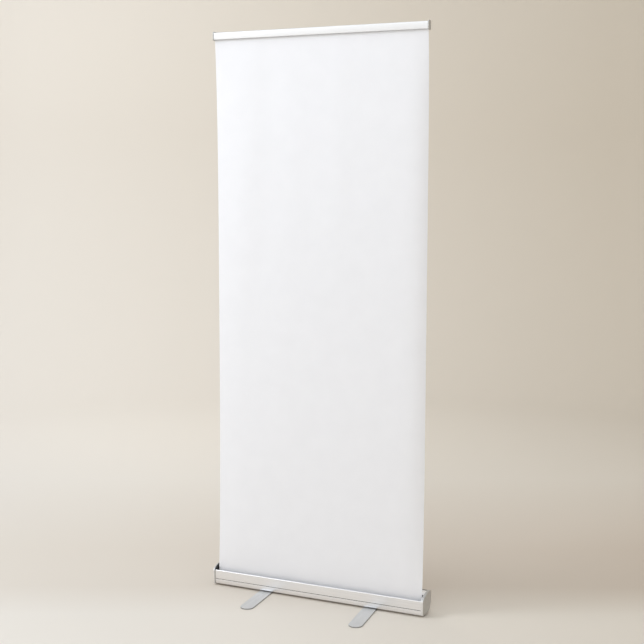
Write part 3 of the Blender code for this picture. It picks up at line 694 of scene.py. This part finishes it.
PLUG_Y, PLUG_Z = (y0 - 1.6, y1 + 1.6), (RAIL_LOW - 3.2, RAIL_TOP + 3.4)
for side, sign in (("left", -1), ("right", 1)):
    low = RAIL_LENGTH / 2 + GAP
    corners = (
        arc((PLUG_Y[0] + 4, PLUG_Z[0] + 4), 4, 270, 180, 10) + arc((PLUG_Y[0] + 7, PLUG_Z[1] - 7), 7, 180, 90, 14)
        + arc((PLUG_Y[1] - 7, PLUG_Z[1] - 7), 7, 90, 0, 14) + arc((PLUG_Y[1] - 4, PLUG_Z[0] + 4), 4, 0, -90, 10)
    )
    plug = bevelled(across(f"rail_end_{side}", [corners], *sorted((sign * low, sign * (low + PLUG_THICK))), SILVER), 0.7, 3, 50)
    x = sorted((sign * (low - 6.5), sign * (low + 1.2)))
    tongues = [
        box(f"tongue_{side}_{i}", (x[0], a, RAIL_LOW + 2.6), (x[1], b, RAIL_TOP - 6.2))
        for i, (a, b) in enumerate(((y0 + T + 0.5, -21.6), (-18.4, y1 - T - 0.5)))
    ]
    stands_for(smooth(combine(plug, "UNION", *tongues)), f"rail_plug_{side}", "mast_upper")

# the bracket's plate with rounded corners, and the tab that drops over the mast's pin
tab_y = MAST_TOP[0] - math.tan(LEAN) * (sum(TAB_Z) / 2 - MAST_TOP[1])
a, b = RAIL_LOW + 3, RAIL_TOP - 3
plate_line = arc((-14.5, a + 3.5), 3.5, 270, 180, 8) + arc((-14.5, b - 3.5), 3.5, 180, 90, 8) + arc((14.5, b - 3.5), 3.5, 90, 0, 8) + arc((14.5, a + 3.5), 3.5, 0, -90, 8)
plate = slab("rail_bracket", [plate_line], 2.0, STEEL)
plate.rotation_euler = (math.pi / 2, 0, 0)
plate.location = (0, (y1 + GAP + 1.0 + BASE_Y) * MM, 0)
plate = bevelled(settle(plate), 0.3, 2, 50)
tab_line = [(-8.5, y1 + GAP + 0.6)] + arc((-3.5, tab_y + 2.6), 5.0, 180, 90, 10) + arc((3.5, tab_y + 2.6), 5.0, 90, 0, 10) + [(8.5, y1 + GAP + 0.6)]
tab = slab("tab", [tab_line], TAB_Z[1] - TAB_Z[0])
tab.location = (0, BASE_Y * MM, sum(TAB_Z) / 2 * MM)
tab = bevelled(settle(tab), 0.3, 2, 50)
bracket = combine(plate, "UNION", tab)
bracket = combine(
    bracket, "DIFFERENCE", rod("pin_hole", (0, tab_y, TAB_Z[0] - 5), 12, 3.5, "Z", 40),
    *[rod(f"bracket_hole_{x}", (x, y1 - 5, SCREW_Z), 12, 1.9, "Y", 24) for x in (-13, 13)],
)
stands_for(smooth(bracket), "rail_hook_bracket", "mast_upper")

for side, x in (("left", -13), ("right", 13)):
    at = (x, y1 + GAP + 2 + GAP, SCREW_Z)
    screw = turned(
        f"pan_screw_{side}",
        [(0, 1.9), (0.9, 1.88), (1.7, 1.72), (2.35, 1.38), (2.8, 0.86), (3.0, 0.25), (2.95, 0), (1.4, 0), (1.4, -6.0), (0, -7.2)],
        at, "Y", STEEL, 40, closed=False,
    )
    y = at[1]
    screw = combine(
        screw, "DIFFERENCE", box(f"cross_a_{side}", (x - 1.7, y + 0.75, SCREW_Z - 0.33), (x + 1.7, y + 3.0, SCREW_Z + 0.33)),
        box(f"cross_b_{side}", (x - 0.33, y + 0.75, SCREW_Z - 1.7), (x + 0.33, y + 3.0, SCREW_Z + 1.7)),
    )
    stands_for(smooth(screw), f"rail_bracket_screw_{side}", "mast_upper")

# ================================================================ the printed sheet
SHEET_LOW, SLOT_Z, SHEET_HIGH = 44.5, 62.0, 2121.0
RUN = RAIL_LOW - 1 - SLOT_Z


def bump(x, centre, width):
    return math.exp(-(((x - centre) / width) ** 2))


def sheet_y(x, free):
    """Depth of the sheet, millimetres, across its width (x) and up its free run (0 at the slot, 1 at the rail)."""
    u = x / (SHEET_WIDTH / 2)
    held = 1 - (2 * free - 1) ** 4  # nothing leaves the plane where the slot and the rail hold it
    curl_left = 17.0 * held * max((-u - 0.58) / 0.42, 0.0) ** 2
    curl_right = 13.0 * (1 - (2 * free - 1) ** 6) * max((u - 0.78) / 0.22, 0.0) ** 3
    lean = 145.0 * (0.75 - min(max(free, 0.3), 0.9))  # the ripples lean to the left on their way down
    top = 1 - max((free - 0.93) / 0.07, 0.0) ** 2
    hang = min(max((free - 0.45) / 0.25, 0.0), 1.0) ** 1.2 * top
    long_hang = min(max((free - 0.06) / 0.34, 0.0), 1.0) * top
    ripple = 2.6 * bump(x, -213 - lean, 64) * long_hang - 1.2 * bump(x, 80 - 0.4 * lean, 42) * hang + 0.6 * bump(x, -40 - 0.4 * lean, 36) * hang
    return -17.6 - 2.4 * free + curl_left + curl_right + ripple


COLUMNS = 150
heights = [SHEET_LOW, 53.0] + [SLOT_Z + RUN * k / 150 for k in range(151)] + [RAIL_LOW + 4.0, SHEET_HIGH]
shape = bmesh.new()
grid = []
for z in heights:
    free = min(max((z - SLOT_Z) / RUN, 0.0), 1.0)
    row = []
    for i in range(COLUMNS + 1):
        x = SHEET_WIDTH * (i / COLUMNS - 0.5)
        row.append(shape.verts.new((x * MM, (sheet_y(x, free) + BASE_Y) * MM, z * MM)))
    grid.append(row)
for lower_row, upper_row in zip(grid, grid[1:]):
    for i in range(COLUMNS):
        shape.faces.new((lower_row[i], lower_row[i + 1], upper_row[i + 1], upper_row[i]))
cloth = from_bmesh("banner_sheet", shape, CLOTH)
skin_step = cloth.modifiers.new("Thickness", "SOLIDIFY")
skin_step.thickness = 0.45 * MM
skin_step.offset = 0.0
skin_step.use_even_offset = True
cloth = smooth(settle(cloth), 60)
stands_for(cloth, "banner", "base")
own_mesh(cloth)

# ================================================================ stage
WALL_PAINTED_LIGHT_LEFT, WALL_PAINTED_SHADE_RIGHT = (0.778, 0.745, 0.700), (0.625, 0.568, 0.485)  # the wall, with painted light: lighter at the left, darker at the right where the key light falls off
FLOOR_PAINTED_LIGHT_LEFT, FLOOR_PAINTED_SHADE_RIGHT = (0.812, 0.778, 0.728), (0.662, 0.596, 0.503)  # the floor in front of the stand, with the same painted falloff from left to right
FLOOR_BEHIND_PAINTED_SHADOW_LEFT, FLOOR_BEHIND_PAINTED_SHADOW_RIGHT = (0.775, 0.730, 0.665), (0.540, 0.452, 0.362)  # the floor behind it, with a painted shadow of the stand that is darkest at the right
backdrop, tree, shader = material("backdrop_paper", WALL_PAINTED_LIGHT_LEFT, 0.0, 0.85)
where = tree.nodes.new("ShaderNodeTexCoord")


def along(direction, low, high):
    """How far a point of the stage is along a level direction, from 0 at low to 1 at high, metres."""
    made = tree.nodes.new("ShaderNodeVectorMath")
    made.operation = "DOT_PRODUCT"
    made.inputs[1].default_value = tuple(direction)
    tree.links.new(where.outputs["Object"], made.inputs[0])
    return spread(tree, made.outputs["Value"], 0.0, 1.0, (low, high))


def mixed(factor, first, second):
    made = tree.nodes.new("ShaderNodeMix")
    made.data_type = "RGBA"
    made.clamp_factor = True
    tree.links.new(factor, made.inputs["Factor"])
    tree.links.new(first, made.inputs[6])
    tree.links.new(second, made.inputs[7])
    return made.outputs[2]


# The paper's colour carries painted light: it darkens from left to right as the key light falls off, and the floor just
# behind the stand carries a painted shadow of it that fades into the wall further back
painted_falloff_across = along(right, -2.4, 2.4)
level = Vector((forward.x, forward.y, 0.0)).normalized()
floor_with_painted_shadow = mixed(
    along(level, -0.15, 0.16), tones(tree, painted_falloff_across, FLOOR_PAINTED_LIGHT_LEFT, FLOOR_PAINTED_SHADE_RIGHT, (0.0, 1.0)), tones(tree, painted_falloff_across, FLOOR_BEHIND_PAINTED_SHADOW_LEFT, FLOOR_BEHIND_PAINTED_SHADOW_RIGHT, (0.0, 1.0))
)
paper_with_painted_light = mixed(along(level, 0.65, 1.9), floor_with_painted_shadow, tones(tree, painted_falloff_across, WALL_PAINTED_LIGHT_LEFT, WALL_PAINTED_SHADE_RIGHT, (0.0, 1.0)))
tree.links.new(paper_with_painted_light, shader.inputs["Base Color"])
fibre = grain(tree, place(tree, (1, 1, 1)), 700.0, 3.0)
relief(tree, shader, [(fibre, 0.05, 0.0002)])
FLAT_R, BEND_R, WALL_TOP = 4200.0, 2000.0, 5000.0
profile = [(0.0, -0.2), (FLAT_R * 0.5, -0.2)] + [(a, b - 0.2) for a, b in arc((FLAT_R, BEND_R), BEND_R, -90, 0, 24)] + [(FLAT_R + BEND_R, WALL_TOP)]
bowl = turned("studio_sweep", [(r, h) for r, h in profile], (0, -BASE_Y, 0), "Z", backdrop, 128, closed=False)
bowl.data.flip_normals()

# ================================================================ light
LIGHTS = {  # name: (place, aimed at, width, height, watts, colour)
    "key_high": ((-2.95, -1.85, 3.5), (0.0, 0.0, 1.2), 1.5, 1.3, 54.0, (0.93, 0.99, 1.08)),
    "fill_front": ((-2.2, -4.4, 2.8), (0.0, 0.0, 1.7), 3.2, 2.2, 11.2, (1.0, 1.0, 1.0)),
    "front_low": ((-3.2, -3.6, 1.4), (0.0, 0.0, 1.0), 2.2, 1.6, 8.5, (0.92, 1.02, 1.06)),
    "front_right": ((0.8, -5.2, 3.2), (0.0, 0.0, 1.2), 2.6, 2.0, 37.0, (0.91, 0.995, 1.095)),
    "back_right": ((3.4, 2.2, 3.2), (0.6, 0.6, 0.0), 2.0, 2.0, 7.0, (1.0, 1.0, 1.0)),
    "wash_back": ((-2.6, 1.6, 3.4), (-1.8, 5.6, 1.4), 2.0, 1.6, 51.0, (1.03, 1.01, 0.96)),
    "top": ((0.0, -0.6, 4.6), (0.0, 0.0, 0.0), 3.0, 3.0, 19.2, (0.97, 1.015, 1.015)),
}
for name, (at, aim, width, height, watts, colour) in LIGHTS.items():
    data = bpy.data.lights.new(name, "AREA")
    data.shape = "RECTANGLE"
    data.size, data.size_y = width, height
    data.energy = watts
    data.color = colour
    lamp = bpy.data.objects.new(name, data)
    bpy.context.scene.collection.objects.link(lamp)
    lamp.location = at
    lamp.rotation_euler = (Vector(aim) - Vector(at)).to_track_quat("-Z", "Y").to_euler()
WORLD_STRENGTH = 0.77
world = bpy.data.worlds.new("studio")
world.use_nodes = True
world.node_tree.nodes["Background"].inputs["Color"].default_value = (0.975, 0.998, 1.028, 1.0)
world.node_tree.nodes["Background"].inputs["Strength"].default_value = WORLD_STRENGTH
bpy.context.scene.world = world
bpy.context.scene.view_settings.view_transform = "Standard"
